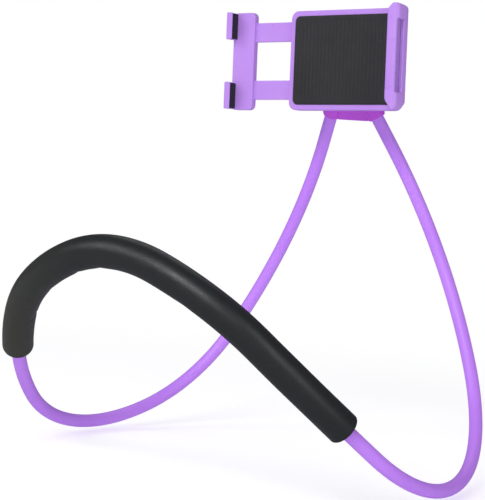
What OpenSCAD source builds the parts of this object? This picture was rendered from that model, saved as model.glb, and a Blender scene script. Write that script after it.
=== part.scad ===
// Neck phone holder. A bendable rod in a soft sleeve runs from a foam pad behind the neck,
// over both shoulders and up to a yoke, whose ball stud carries a sprung phone clamp.
// Origin: the rod's centreline behind the neck. +X is the wearer's right, +Y points forwards
// from the neck to the phone, +Z is up. The loop is mirrored in the plane x = 0.

/* [Rod] */
// Outside diameter of the soft sleeve
sleeve_d = 9.6; // [8.6:0.1:10.6]
// Diameter of the bendable metal core
core_d = 5; // [4.4:0.1:5.6]
// Radial clearance between the core and the sleeve's bore
core_fit = 0.05; // [0.02:0.01:0.1]
// Straight run of the rod below its socket
end_length = 24; // [18:1:30]
// Half length of a stretch that bends, measured along the rod
flex_half = 14; // [10:1:18]

/* [Rod bends from the neck to the yoke] */
// Slope of the first bend, in degrees from level
nape_roll = -70.5; // [-74:0.5:-66]
// Radius of the bend behind the neck
nape_bend_r = 89; // [82:1:96]
// Angle of the bend behind the neck
nape_bend_angle = 22.5; // [20:0.5:25]
// Radius of the bend over the shoulder
shoulder_bend_r = 133; // [124:1:142]
// Angle of the bend over the shoulder
shoulder_bend_angle = 35; // [32:0.5:38]
// Roll of the bend over the shoulder
shoulder_bend_roll = 27; // [24:0.5:30]
// Radius of the bend down the chest
chest_bend_r = 275; // [255:1:295]
// Angle of the bend down the chest
chest_bend_angle = 22.5; // [20:0.5:25]
// Roll of the bend down the chest
chest_bend_roll = 28.5; // [26:0.5:31]
// Radius of the bend at the lowest point
dip_bend_r = 127; // [118:1:136]
// Angle of the bend at the lowest point
dip_bend_angle = 65; // [61:0.5:69]
// Roll of the bend at the lowest point
dip_bend_roll = 29; // [26:0.5:32]
// Radius of the bend that turns up
rise_bend_r = 113; // [105:1:121]
// Angle of the bend that turns up
rise_bend_angle = 49; // [46:0.5:52]
// Roll of the bend that turns up
rise_bend_roll = 7.5; // [5:0.5:10]
// Radius of the bend that closes in on the yoke
head_bend_r = 278; // [262:1:294]
// Angle of the bend that closes in on the yoke
head_bend_angle = 36.5; // [34:0.5:39]
// Roll of the bend that closes in on the yoke
head_bend_roll = -7.5; // [-10:0.5:-5]

/* [Neck pad] */
// Outside diameter of the foam pad
pad_d = 21.8; // [19:0.2:25]
// Half length of the pad along the rod
pad_half = 175.5; // [166:0.5:190]
// How far the pad sits off the loop's middle, towards the wearer's right
pad_shift = 15.5; // [8:0.5:24]
// Edge rounding at the pad's ends
pad_edge_r = 3; // [1:0.5:5]
// Radial clearance between the pad and the sleeve
pad_fit = 0.1; // [0.05:0.05:0.2]

/* [Yoke] */
// Thickness of the yoke's plate, both shells together
yoke_t = 8; // [7:0.2:9]
// Wall round each rod socket
socket_wall = 1.6; // [1.4:0.05:2.4]
// How deep the sleeve goes into its socket
socket_depth = 16; // [12:1:18]
// Length of the ferrule beyond the sleeve
ferrule_l = 8; // [6:0.5:10]
// Outside diameter of the ferrule
ferrule_d = 8; // [7:0.1:8.6]
// Radial clearance of the rod in the yoke
socket_fit = 0.05; // [0.02:0.01:0.1]
// Radius of the yoke's rounded top
boss_r = 11; // [9.5:0.5:13]
// Height of the ball stud above the sockets, along the yoke
boss_rise = 48.45; // [46:0.05:54]

/* [Ball joint] */
// Diameter of the ball
ball_d = 15; // [14:0.1:16]
// Diameter of the stud's stem
stem_d = 6; // [5:0.1:6.4]
// Distance from the middle of the yoke's plate to the ball's centre
stud_reach = 17.5; // [16.8:0.1:20]
// Diameter of the stud's foot between the shells
foot_d = 13; // [11:0.5:15]
// Thickness of the stud's foot
foot_t = 2.4; // [1.6:0.1:2.6]
// Radial clearance between ball, seat and nut
ball_fit = 0.06; // [0.03:0.01:0.1]
// Thickness of the friction seat round the ball's front
seat_t = 1.25; // [0.8:0.05:1.4]
// Wall of the threaded cup round the ball
cup_wall = 1.8; // [1.4:0.1:2.4]
// Wall of the lock nut round the cup
nut_wall = 2.45; // [2:0.05:2.6]
// Largest tilt of the stem in the lock nut, in degrees
stem_cone = 38; // [32:1:40]
// Number of finger grooves round the lock nut
nut_grooves = 20; // [12:1:28]

/* [Clamp body] */
// Turn of the clamp about the ball, in degrees
clamp_roll = 2.6; // [0:0.1:6]
// Distance from the ball's centre to the bed that the phone lies on
bed_to_ball = 14.3; // [14:0.1:16]
// Length of the body from the ball towards the sliding jaw
body_short_l = 30.6; // [28:0.2:36]
// Length of the body from the ball towards the fixed jaw
body_long_l = 61.6; // [58:0.2:68]
// Height of the body
body_h = 73; // [72:0.5:77]
// Depth of the body
body_depth = 9; // [8.8:0.1:10]
// Wall of the body's shells
shell_wall = 2; // [1.6:0.1:2.2]
// Corner radius of the body
body_corner_r = 6; // [3:0.5:8]
// Thickness of the soft bed
bed_t = 1; // [0.6:0.1:1.4]

/* [Fixed jaw] */
// Height of the fixed jaw
jaw_h = 75.8; // [75:0.2:80]
// How far the jaw's middle stands above the body's
jaw_rise = 0.5; // [0:0.1:1]
// How far the jaw's outside stands past the body's end
jaw_out = 5.6; // [5:0.2:8]
// How far the jaw's back edge stands past the body's end
jaw_back_out = 0.6; // [0.4:0.1:1.6]
// Wall of the jaw
jaw_wall = 1.5; // [1.3:0.1:2]
// Clear depth between the bed and the jaw's front lip
jaw_hold = 11; // [9:0.2:14]
// Reach of the front lip over the phone
lip_reach = 7.4; // [6:0.2:9]
// Thickness of the front lip
lip_t = 2.5; // [2.2:0.1:3.2]
// Rounding of the jaw's front corner
jaw_edge_r = 4; // [2:0.1:4.6]
// Rounding of the lip's free edge
lip_edge_r = 2; // [1:0.1:2.1]
// Height of the side window
window_h = 52; // [44:1:54]
// How far the window's middle stands above the jaw's
window_rise = 1; // [0:0.1:1.5]
// Depth of the side window, from the lip's front
window_depth = 9.8; // [7:0.1:10.4]
// Thickness of the soft pads on both jaws
jaw_pad_t = 0.5; // [0.4:0.1:0.8]
// Height of each soft pad above and below the window
jaw_pad_h = 7.5; // [5:0.5:8]

/* [Sliding jaw] */
// Opening between the jaws, round the long side of a common phone
grip_opening = 143.6; // [140:0.2:160]
// Height of each finger
finger_h = 20; // [14:0.5:24]
// Height over both fingers
finger_span = 72; // [66:0.5:73]
// Thickness of each finger
finger_t = 3.2; // [2.4:0.1:3.6]
// Clear depth between the bed and a finger's lip
finger_hold = 8; // [7:0.1:10]
// Thickness of a finger's lip
finger_lip_t = 1; // [0.8:0.1:1.6]
// Reach of a finger's lip over the phone
finger_lip = 1.2; // [0.6:0.1:2]
// Length of the block that carries the fingers
carriage_l = 19; // [14:0.5:24]
// Height of the block
carriage_h = 73; // [72:0.5:77]
// Thickness of each rail
rail_t = 2.8; // [2.4:0.1:3]
// Clearance round the rails
slide_fit = 0.3; // [0.2:0.05:0.4]
// Travel of the sliding jaw towards the fixed jaw
close_travel = 28; // [24:0.5:30]
// Outside diameter of the return springs
spring_d = 2.8; // [2.2:0.1:2.8]
// Wire of the return springs
spring_wire = 0.5; // [0.4:0.05:0.6]

/* [Screws] */
// Diameter of the small screws
screw_d = 2.2; // [1.8:0.1:2.6]
// Head diameter of the small screws
screw_head_d = 4; // [3.6:0.1:4.6]
// Diameter of the stud's screw
stud_screw_d = 3; // [2.6:0.1:3.2]
// Head diameter of the stud's screw
stud_head_d = 5.6; // [5:0.1:6]

/* [Hidden] */

$fn = 64;
// Overrun of every cut
cut = 1;
// Shortest stretch of rod that is drawn
least_run = 0.05;
// Bends of one piece stop this far short of their shared station, and a ring in the wall joins them
run_gap = 0.002;
link_l = 2;
link_skin = 0.4;

sleeve_colour = "#B673EE";
plastic_colour = "#BC8CF0";
foam_colour = "#34373A";
rubber_colour = "#2A2A2E";
metal_colour = "#B9BCC2";

sleeve_r = sleeve_d/2;
core_r = core_d/2;
core_bore_r = core_r + core_fit;
pad_r = pad_d/2;
pad_bore_r = sleeve_r + pad_fit;

// The rod: each bend is [radius, angle, roll]; a frame is [place, direction, side of the bend]
bends = [
    [nape_bend_r, nape_bend_angle, 0],
    [shoulder_bend_r, shoulder_bend_angle, shoulder_bend_roll],
    [chest_bend_r, chest_bend_angle, chest_bend_roll],
    [dip_bend_r, dip_bend_angle, dip_bend_roll],
    [rise_bend_r, rise_bend_angle, rise_bend_roll],
    [head_bend_r, head_bend_angle, head_bend_roll]];
bend_count = len(bends);
dip_bend = 3;
head_bend = 5;
nape_frame = [[0, 0, 0], [1, 0, 0], [0, cos(nape_roll), sin(nape_roll)]];

function rolled(f, roll) = [f[0], f[1], f[2]*cos(roll) + cross(f[1], f[2])*sin(roll)];
function along_bend(f, r, a) = [
    f[0] + r*(sin(a)*f[1] + (1 - cos(a))*f[2]),
    cos(a)*f[1] + sin(a)*f[2],
    cos(a)*f[2] - sin(a)*f[1]];
function bend_start(i) = rolled(i == 0 ? nape_frame : bend_end(i - 1), bends[i][2]);
function bend_end(i) = along_bend(bend_start(i), bends[i][0], bends[i][1]);
function bend_length(i) = bends[i][0]*bends[i][1]*PI/180;
function station(i) = i == 0 ? 0 : station(i - 1) + bend_length(i - 1);
function degrees_past(i, s) = (s - stations[i])/bends[i][0]*180/PI;

starts = [for (i = [0:bend_count - 1]) bend_start(i)];
stations = [for (i = [0:bend_count]) station(i)];
run_start = bend_end(bend_count - 1);
mouth_s = stations[bend_count] + end_length;
mouth = [run_start[0] + end_length*run_start[1], run_start[1], run_start[2]];

function bend_at(s, i = 0) = i == bend_count - 1 || s < stations[i + 1] ? i : bend_at(s, i + 1);
function frame_at(s) = let (i = bend_at(s)) along_bend(starts[i], bends[i][0], degrees_past(i, s));

// The rod bends at the lowest point of the loop and again part way up to the yoke
head_flex_share = 0.72;
dip_s = (stations[dip_bend] + stations[dip_bend + 1])/2;
head_s = stations[head_bend] + head_flex_share*bend_length(head_bend);
sleeve_end_s = mouth_s + socket_depth;
core_end_s = sleeve_end_s + ferrule_l;

// The yoke: its own z runs up the plate from the sockets, its own y points backwards
lean = atan2(-mouth[1].y, mouth[1].z);
splay = atan2(-mouth[1].x, norm([mouth[1].y, mouth[1].z]));
socket_half = mouth[0].x;
socket_r = sleeve_r + socket_wall;
socket_bore_r = sleeve_r + socket_fit;
ferrule_r = ferrule_d/2;
ferrule_bore_r = ferrule_r + socket_fit;
half_t = yoke_t/2;
barrel_l = socket_depth + ferrule_l + socket_fit;
barrel_tip_share = 0.5;
// The plate starts a little above the sockets' mouths, inside their walls
plate_back = 0.8;
plate_in = 0.4;
bar_rise = 0.4;
function at_socket(across, up) = [
    socket_half + across*cos(splay) - up*sin(splay), across*sin(splay) + up*cos(splay)];
bar_y = at_socket(-socket_r, 0).y + bar_rise;
bar_in = plate_in - socket_r;
bar_corner = at_socket(bar_in, (bar_y - bar_in*sin(splay))/cos(splay));
side_foot = at_socket(socket_r - plate_in, plate_back);
side_run = [side_foot.x, boss_rise - side_foot.y];
boss_share = 0.99;
side_angle = atan2(side_run.x, side_run.y) - asin(boss_share*boss_r/norm(side_run));
shoulder = [boss_share*boss_r*cos(side_angle), boss_rise + boss_share*boss_r*sin(side_angle)];
foot_r = foot_d/2;
stem_r = stem_d/2;
ball_r = ball_d/2;
stud_screw_l = half_t + foot_t + stem_d;

// The ball's centre and the nut, whose own axis is the clamp's y
ball = [0,
    mouth[0].y - boss_rise*sin(lean) - stud_reach*cos(lean),
    mouth[0].z + boss_rise*cos(lean) - stud_reach*sin(lean)];
seat_r = ball_r + ball_fit + seat_t;
cup_bore_r = seat_r + ball_fit;
cup_r = cup_bore_r + cup_wall;
cup_rim_share = 0.2;
cup_rim = cup_rim_share*ball_r;
seat_angle = 70;
seat_edge = seat_r*cos(seat_angle);
nut_fit = 0.08;
nut_bore_r = cup_r + nut_fit;
nut_r = nut_bore_r + nut_wall;
nut_gap = 0.3;
rim_angle = stem_cone + asin(stem_r/ball_r);
nut_rim = ball_r*cos(rim_angle);
nut_lip = 1.5;
nut_back = nut_rim + nut_lip;
flare_clear = 0.25;
function flare_r(y) = y*tan(stem_cone) + stem_r/cos(stem_cone) + flare_clear;
groove_r = 0.9;
groove_out = 0.35;

// Layers of the clamp's body along its own y, the phone's side first
bed_y = -bed_to_ball;
front_y = bed_y + bed_t;
front_in_y = front_y + shell_wall;
rail_y = front_in_y + slide_fit;
rail_back_y = rail_y + rail_t;
rear_y = front_y + body_depth;
rear_in_y = rear_y - shell_wall;
guide_y = rail_back_y + slide_fit;
cup_floor_share = 0.8;
cup_front_y = -cup_bore_r - cup_floor_share*cup_wall;

// Places along the clamp's own x
body_left = -body_short_l;
body_right = body_long_l;
jaw_x = body_right + jaw_out;
grip_right = jaw_x - jaw_wall - jaw_pad_t;
grip_left = grip_right - grip_opening;
lip_x = grip_right - lip_reach;
lip_in_y = bed_y - jaw_hold;
lip_y = lip_in_y - lip_t;
finger_lip_y = bed_y - finger_hold;
finger_front_y = finger_lip_y - finger_lip_t;
finger_in = grip_left - jaw_pad_t;
finger_x = finger_in - finger_t;
carriage_x = finger_x + carriage_l;
tongue_l = 8.5;
tongue_x = body_right - shell_wall - tongue_l;
rail_end = tongue_x - slide_fit - close_travel;
carriage_end_r = 4;

// Places along the clamp's own z
spring_fit = 0.3;
spring_r = spring_d/2;
spring_z = cup_r + spring_fit + spring_r;
rail_z = spring_z + spring_r + 2*spring_fit;
post_r = 2.9;
post_wall_share = 0.9;
post_inset = shell_wall + post_wall_share*post_r;
post_z = body_h/2 - post_inset;
rail_top = post_z - post_r - slide_fit;
rib_t = 1.2;
rib_z = rail_top + slide_fit;
channel_z = spring_z - spring_r - spring_fit - rib_t;
tab_l = 3;
tab_z = spring_z - spring_r;
post_left = body_left + post_inset + post_r;
post_right = body_right - post_inset;

tongue_h = 12;
tongue_z = (rail_z + rail_top)/2;
tongue_fit = 0.1;
jaw_screw_x = tongue_x + tongue_l/2;

screw_r = screw_d/2;
screw_head_r = screw_head_d/2;
screw_head_t = 1.2;
screw_fit = 0.05;
head_fit = 0.3;
head_sink = 0.2;
slot_w = 0.7;
slot_share = 0.65;
skin = 1;
stud_head_t = 1.8;
stud_screw_r = stud_screw_d/2;

// The fixed jaw's ends and its window along the clamp's z, and the bevels across both ends
jaw_low = jaw_rise - jaw_h/2;
jaw_high = jaw_rise + jaw_h/2;
window_low = jaw_rise + window_rise - window_h/2;
window_high = window_low + window_h;
bevel_top = [4.4, 4.7];
bevel_bottom = [6.3, 8.7];
outer_bevel_top = 2.6;
outer_bevel_bottom = 4.6;
strip_sink = 0.5;
bed_margin = 4;
bed_corner_r = 4;

module on_frame(f) {
    side = cross(f[1], f[2]);
    multmatrix([
        [f[2].x, side.x, f[1].x, f[0].x],
        [f[2].y, side.y, f[1].y, f[0].y],
        [f[2].z, side.z, f[1].z, f[0].z],
        [0, 0, 0, 1]]) children();
}

// Puts a bend's centre at the origin, its start on +x and its travel towards +y
module on_bend(f, r) {
    side = cross(f[1], f[2]);
    centre = f[0] + r*f[2];
    multmatrix([
        [-f[2].x, f[1].x, side.x, centre.x],
        [-f[2].y, f[1].y, side.y, centre.y],
        [-f[2].z, f[1].z, side.z, centre.z],
        [0, 0, 0, 1]]) children();
}

module ring(r, bore) {
    difference() {
        circle(r);
        if (bore > 0) circle(bore);
    }
}

module link(r, bore) translate([0, 0, -link_l/2]) linear_extrude(link_l)
    ring(r - link_skin, bore > 0 ? bore + link_skin : 0);

// A stretch of round rod or tube between two stations of the right half of the loop
module rod_run(from, to, r, bore = 0) {
    for (i = [0:bend_count - 1]) {
        low = from < stations[i] ? stations[i] + run_gap : from;
        high = to > stations[i + 1] ? stations[i + 1] - run_gap : to;
        if (high - low > least_run) {
            a = degrees_past(i, low);
            on_bend(starts[i], bends[i][0]) rotate([0, 0, a])
                rotate_extrude(angle = degrees_past(i, high) - a)
                    translate([bends[i][0], 0]) ring(r, bore);
        }
        if (from < stations[i] && to > stations[i]) on_frame(starts[i]) link(r, bore);
    }
    if (to > stations[bend_count]) on_frame(run_start) {
        translate([0, 0, run_gap])
            linear_extrude(to - stations[bend_count] - run_gap) ring(r, bore);
        link(r, bore);
    }
}

module left() mirror([1, 0, 0]) children();

module both() {
    children();
    left() children();
}

module pad_end() {
    link(pad_r, pad_bore_r);
    translate([0, 0, run_gap]) rotate_extrude() {
        translate([pad_bore_r, 0]) square([pad_r - pad_edge_r - pad_bore_r, pad_edge_r]);
        translate([pad_r - pad_edge_r, 0]) intersection() {
            circle(pad_edge_r);
            square(pad_edge_r);
        }
    }
}

module pad_side(l) {
    rod_run(0, l - pad_edge_r - run_gap, pad_r, pad_bore_r);
    on_frame(frame_at(l - pad_edge_r)) pad_end();
}

module neck_pad() color(foam_colour) {
    pad_side(pad_half + pad_shift);
    left() pad_side(pad_half - pad_shift);
}

module neck_sleeve() color(sleeve_colour)
    both() rod_run(0, dip_s - flex_half, sleeve_r, core_bore_r);

module neck_core() color(metal_colour) both() rod_run(0, dip_s - flex_half, core_r);

module dip_sleeve() color(sleeve_colour)
    rod_run(dip_s - flex_half, dip_s + flex_half, sleeve_r, core_bore_r);

module dip_core() color(metal_colour) rod_run(dip_s - flex_half, dip_s + flex_half, core_r);

module arm_sleeve() color(sleeve_colour)
    rod_run(dip_s + flex_half, head_s - flex_half, sleeve_r, core_bore_r);

module arm_core() color(metal_colour) rod_run(dip_s + flex_half, head_s - flex_half, core_r);

module bend_sleeve() color(sleeve_colour)
    rod_run(head_s - flex_half, head_s + flex_half, sleeve_r, core_bore_r);

module bend_core() color(metal_colour) rod_run(head_s - flex_half, head_s + flex_half, core_r);

module top_sleeve() color(sleeve_colour)
    rod_run(head_s + flex_half, sleeve_end_s, sleeve_r, core_bore_r);

module top_core() color(metal_colour) rod_run(head_s + flex_half, core_end_s, core_r);

module ferrule() color(metal_colour)
    on_frame(mouth) translate([0, 0, socket_depth]) linear_extrude(ferrule_l)
        ring(ferrule_r, core_bore_r);

// Yoke
module in_yoke() translate([0, mouth[0].y, mouth[0].z]) rotate([lean, 0, 0]) children();

// What is round about a socket's axis; the turn keeps its seam out of the plate's middle plane
seam_turn = 45;
module at_mouth() translate([socket_half, 0, 0]) rotate([0, -splay, 0])
    rotate([0, 0, seam_turn]) children();

// Along the yoke's own y, forwards from the middle of the plate
module forwards(h) rotate([90, 0, 0]) linear_extrude(h) children();

module yoke_outline() {
    polygon([
        [-bar_corner.x, bar_corner.y], bar_corner, side_foot, shoulder,
        [-shoulder.x, shoulder.y], [-side_foot.x, side_foot.y]]);
    translate([0, boss_rise]) circle(boss_r);
}

module barrel() at_mouth() {
    cylinder(barrel_l, r = socket_r);
    translate([0, 0, barrel_l]) cylinder(socket_r, r1 = socket_r, r2 = barrel_tip_share*socket_r);
}

// One shell of the yoke, on the forward side of the plate's middle
module yoke_shell() {
    difference() {
        union() {
            forwards(half_t) yoke_outline();
            intersection() {
                both() barrel();
                translate([-2*socket_half, -2*socket_r, -boss_rise])
                    cube([4*socket_half, 2*socket_r, 2*boss_rise]);
            }
        }
        both() at_mouth() {
            translate([0, 0, -cut]) cylinder(socket_depth + cut, r = socket_bore_r);
            cylinder(barrel_l, r = ferrule_bore_r);
        }
    }
}

yoke_screw_low = socket_wall + screw_head_r + sleeve_r;
yoke_screw_high = boss_rise - boss_r - foot_r + screw_head_r;
yoke_screw_zs = [yoke_screw_low, yoke_screw_high];

module yoke_front() color(plastic_colour) in_yoke() difference() {
    yoke_shell();
    translate([0, 0, boss_rise]) {
        translate([0, cut, 0]) rotate([90, 0, 0]) cylinder(foot_t + cut, r = foot_r + socket_fit);
        rotate([90, 0, 0]) cylinder(half_t + cut, r = stem_r + socket_fit);
    }
    for (z = yoke_screw_zs) translate([0, cut, z]) rotate([90, 0, 0])
        cylinder(half_t - skin + cut, r = screw_r + screw_fit);
}

module yoke_rear() color(plastic_colour) in_yoke() difference() {
    mirror([0, 1, 0]) yoke_shell();
    translate([0, -cut, boss_rise]) rotate([-90, 0, 0]) {
        cylinder(half_t + 2*cut, r = stud_screw_r + screw_fit);
        translate([0, 0, half_t + cut - stud_head_t - head_sink])
            cylinder(stud_head_t + head_sink + cut, r = stud_head_d/2 + head_fit);
    }
    for (z = yoke_screw_zs) translate([0, -cut, z]) rotate([-90, 0, 0]) {
        cylinder(half_t + 2*cut, r = screw_r + screw_fit);
        translate([0, 0, half_t + cut - screw_head_t - head_sink])
            cylinder(screw_head_t + head_sink + cut, r = screw_head_r + head_fit);
    }
}

// A screw whose head's top is at the origin and faces +y
module screw(l, r, head_r, head_t) rotate([90, 0, 0]) {
    cylinder(l, r = r);
    difference() {
        cylinder(head_t, r = head_r);
        for (a = [0, 90]) rotate([0, 0, a])
            translate([-slot_share*head_r, -slot_w/2, -cut])
                cube([2*slot_share*head_r, slot_w, cut + head_t/2]);
    }
}

module small_screw(l) screw(l, screw_r, screw_head_r, screw_head_t);

module yoke_screws() color(metal_colour) in_yoke() for (z = yoke_screw_zs)
    translate([0, half_t - head_sink, z]) small_screw(yoke_t - skin - 2*head_sink);

module ball_stud() color(plastic_colour) in_yoke() translate([0, 0, boss_rise])
    rotate([90, 0, 0]) difference() {
        union() {
            cylinder(foot_t, r = foot_r);
            cylinder(stud_reach, r = stem_r);
            translate([0, 0, stud_reach]) sphere(ball_r);
        }
        translate([0, 0, -cut]) cylinder(stud_screw_l - half_t + cut, r = stud_screw_r + screw_fit);
    }

module stud_screw() color(metal_colour) in_yoke()
    translate([0, half_t - head_sink, boss_rise])
        screw(stud_screw_l - 2*head_sink, stud_screw_r, stud_head_d/2, stud_head_t);

// Ball joint, about the ball's centre
module at_ball() translate(ball) children();

module in_clamp() at_ball() rotate([0, -clamp_roll, 0]) children();

module ball_seat() color(rubber_colour) at_ball() difference() {
    sphere(seat_r);
    sphere(ball_r + ball_fit);
    translate([-seat_r - cut, -seat_edge, -seat_r - cut])
        cube([2*(seat_r + cut), seat_r + seat_edge + cut, 2*(seat_r + cut)]);
}

// Backwards along the clamp's own y, from y = start
module backwards(start, h) translate([0, start + h, 0]) rotate([90, 0, 0])
    linear_extrude(h) children();

module lock_nut() color(plastic_colour) in_clamp() difference() {
    backwards(rear_y + nut_gap, nut_back - rear_y - nut_gap) difference() {
        circle(nut_r);
        for (i = [0:nut_grooves - 1]) rotate(i*360/nut_grooves)
            translate([nut_r + groove_out, 0]) circle(groove_r, $fn = 24);
    }
    backwards(rear_y, cup_rim + nut_gap - rear_y) circle(nut_bore_r);
    sphere(ball_r + ball_fit);
    translate([0, nut_back + cut, 0]) rotate([90, 0, 0])
        cylinder(nut_back + cut - cup_rim, r1 = flare_r(nut_back + cut), r2 = flare_r(cup_rim));
}

// Clamp body
module rounded(low, high, r) {
    for (x = [low.x + r, high.x - r], z = [low.y + r, high.y - r]) translate([x, z]) circle(r);
    translate([low.x + r, low.y]) square([high.x - low.x - 2*r, high.y - low.y]);
    translate([low.x, low.y + r]) square([high.x - low.x, high.y - low.y - 2*r]);
}

module body_outline(inset = 0) rounded(
    [body_left + inset, inset - body_h/2], [body_right - inset, body_h/2 - inset],
    body_corner_r - inset);

post_xs = [post_left, post_right];
module at_posts() for (x = post_xs, z = [-post_z, post_z]) translate([x, z]) children();

module upper_and_lower() {
    children();
    mirror([0, 0, 1]) children();
}

// A block between two corners given as [x, y, z]
module block(low, high) translate(low) cube(high - low);

module tongue_holes(r) for (z = [-tongue_z, tongue_z]) translate([jaw_screw_x, z]) circle(r);

module body_front() color(plastic_colour) in_clamp() difference() {
    union() {
        backwards(front_y, shell_wall) body_outline();
        backwards(front_y, rear_in_y - front_y) difference() {
            body_outline();
            body_outline(shell_wall);
        }
        intersection() {
            backwards(front_y, rear_in_y - front_y) body_outline();
            union() {
                backwards(front_y, rear_in_y - front_y) at_posts() circle(post_r);
                upper_and_lower() {
                    block([body_left + cut, front_y, rib_z], [tongue_x - 2*tongue_fit, guide_y, rib_z + rib_t]);
                    for (x = [[body_left + cut, -cup_r - cut], [cup_r + cut, tongue_x - 2*tongue_fit]])
                        block([x[0], front_y, channel_z], [x[1], guide_y, channel_z + rib_t]);
                }
            }
        }
    }
    upper_and_lower() {
        block([body_left - cut, front_in_y, rail_z - slide_fit],
            [body_left + shell_wall + cut, guide_y, rail_top + slide_fit]);
        block([body_right - shell_wall - cut, front_in_y, tongue_z - tongue_h/2 - tongue_fit],
            [body_right + cut, rear_in_y + cut, tongue_z + tongue_h/2 + tongue_fit]);
    }
    backwards(front_y + skin, body_depth) at_posts() circle(screw_r + screw_fit);
}

module body_rear() color(plastic_colour) in_clamp() difference() {
    union() {
        backwards(rear_in_y, shell_wall) body_outline();
        backwards(cup_front_y, cup_rim - cup_front_y) circle(cup_r);
        upper_and_lower() for (z = [rail_z + rib_t, rail_top - 2*rib_t])
            block([body_left + shell_wall + tongue_fit, guide_y, z],
                [tongue_x - 2*tongue_fit, rear_in_y, z + rib_t]);
    }
    sphere(cup_bore_r);
    backwards(0, cup_rim + cut) circle(cup_bore_r);
    backwards(rear_in_y - cut, shell_wall + 2*cut) {
        at_posts() circle(screw_r + screw_fit);
        tongue_holes(screw_r + screw_fit);
    }
    backwards(rear_y - screw_head_t - head_sink, screw_head_t + head_sink + cut) {
        at_posts() circle(screw_head_r + head_fit);
        tongue_holes(screw_head_r + head_fit);
    }
}

body_screw_l = rear_y - head_sink - front_y - skin - head_sink;
jaw_screw_l = rear_y - head_sink - front_in_y - head_sink;

module body_screws() color(metal_colour) in_clamp()
    for (x = post_xs, z = [-post_z, post_z]) translate([x, rear_y - head_sink, z])
        small_screw(body_screw_l);

module jaw_screws() color(metal_colour) in_clamp()
    for (z = [-tongue_z, tongue_z]) translate([jaw_screw_x, rear_y - head_sink, z])
        small_screw(jaw_screw_l);

module phone_bed() color(rubber_colour) in_clamp() backwards(bed_y, bed_t) rounded(
    [body_left + bed_margin, bed_margin - body_h/2],
    [lip_x - cut, body_h/2 - bed_margin], bed_corner_r);

// What rounding takes off a corner that lies at the origin and points to -x, -y
module corner_cut(r) difference() {
    translate([-cut, -cut]) square(r + cut);
    translate([r, r]) circle(r);
}

// Section of the fixed jaw across its height: x, then y
module jaw_section() difference() {
    translate([lip_x, lip_y]) square([jaw_x - lip_x, rear_y - lip_y]);
    translate([lip_x - cut, lip_in_y])
        square([grip_right + jaw_pad_t - lip_x + cut, front_y - lip_in_y]);
    translate([lip_x - cut, front_y - cut])
        square([body_right - lip_x + cut, body_depth + 2*cut]);
    translate([lip_x, lip_y]) corner_cut(lip_edge_r);
    translate([jaw_x, lip_y]) mirror([1, 0]) corner_cut(jaw_edge_r);
    // The back slopes in to the body
    polygon([[jaw_x, front_y], [jaw_x + cut, front_y], [jaw_x + cut, rear_y + cut],
        [body_right + jaw_back_out, rear_y + cut], [body_right + jaw_back_out, rear_y]]);
}

// A bevel across a corner of the jaw: from x = at, going in by size.x, and from the end z, going in by size.y
module end_bevel(at, in, size, end, up) translate([at, end]) mirror([in, 0]) mirror([0, up])
    polygon([[-cut, size.y], [0, size.y], [size.x, 0], [size.x, -cut], [-cut, -cut]]);

module fixed_jaw() color(plastic_colour) in_clamp() difference() {
    union() {
        translate([0, 0, jaw_low]) linear_extrude(jaw_h) jaw_section();
        upper_and_lower()
            block([tongue_x, front_in_y + tongue_fit, tongue_z - tongue_h/2],
                [body_right + jaw_back_out, rear_in_y - tongue_fit, tongue_z + tongue_h/2]);
    }
    // Window through the corner and the side
    block([grip_right + jaw_pad_t, lip_y - cut, window_low],
        [jaw_x + cut, lip_y + window_depth, window_high]);
    // The strip behind the window is set in
    block([jaw_x - strip_sink, lip_y + window_depth - cut, window_low],
        [jaw_x + cut, rear_y + cut, window_high]);
    backwards(lip_y - cut, rear_y - lip_y + 2*cut) {
        end_bevel(lip_x, 0, bevel_top, jaw_high, 1);
        end_bevel(lip_x, 0, bevel_bottom, jaw_low, 0);
        end_bevel(jaw_x, 1, [outer_bevel_top, outer_bevel_top], jaw_high, 1);
        end_bevel(jaw_x, 1, [outer_bevel_bottom, outer_bevel_bottom], jaw_low, 0);
    }
    backwards(front_in_y - cut, body_depth) tongue_holes(screw_r + screw_fit);
}

module fixed_jaw_pads() color(rubber_colour) in_clamp() for (z = [window_low - jaw_pad_h, window_high])
    block([grip_right, lip_in_y, z], [grip_right + jaw_pad_t, bed_y, z + jaw_pad_h]);

// Sliding jaw
finger_z = finger_span/2 - finger_h;

module finger() {
    block([finger_x, finger_front_y, finger_z], [finger_in, rail_back_y, finger_z + finger_h]);
    block([finger_x, finger_front_y, finger_z],
        [grip_left + finger_lip, finger_lip_y, finger_z + finger_h]);
}

module rail() {
    block([carriage_x - cut, rail_y, rail_z], [rail_end, rail_back_y, rail_top]);
    block([rail_end - tab_l, rail_y, tab_z], [rail_end, rail_back_y, rail_top]);
}

module sliding_jaw() color(plastic_colour) in_clamp() {
    backwards(front_y, rail_back_y + slide_fit - front_y)
        rounded([finger_x, -carriage_h/2], [carriage_x, carriage_h/2], carriage_end_r);
    upper_and_lower() {
        finger();
        rail();
    }
}

module finger_pads() color(rubber_colour) in_clamp() upper_and_lower()
    block([finger_in, finger_lip_y, finger_z + jaw_pad_t],
        [grip_left, front_y, finger_z + finger_h - jaw_pad_t]);

module return_spring(side) color(metal_colour) in_clamp()
    translate([body_left + shell_wall, (rail_y + rail_back_y)/2, side*spring_z]) rotate([0, 90, 0])
        linear_extrude(rail_end - tab_l - body_left - shell_wall)
            ring(spring_r, spring_r - spring_wire);

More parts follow.
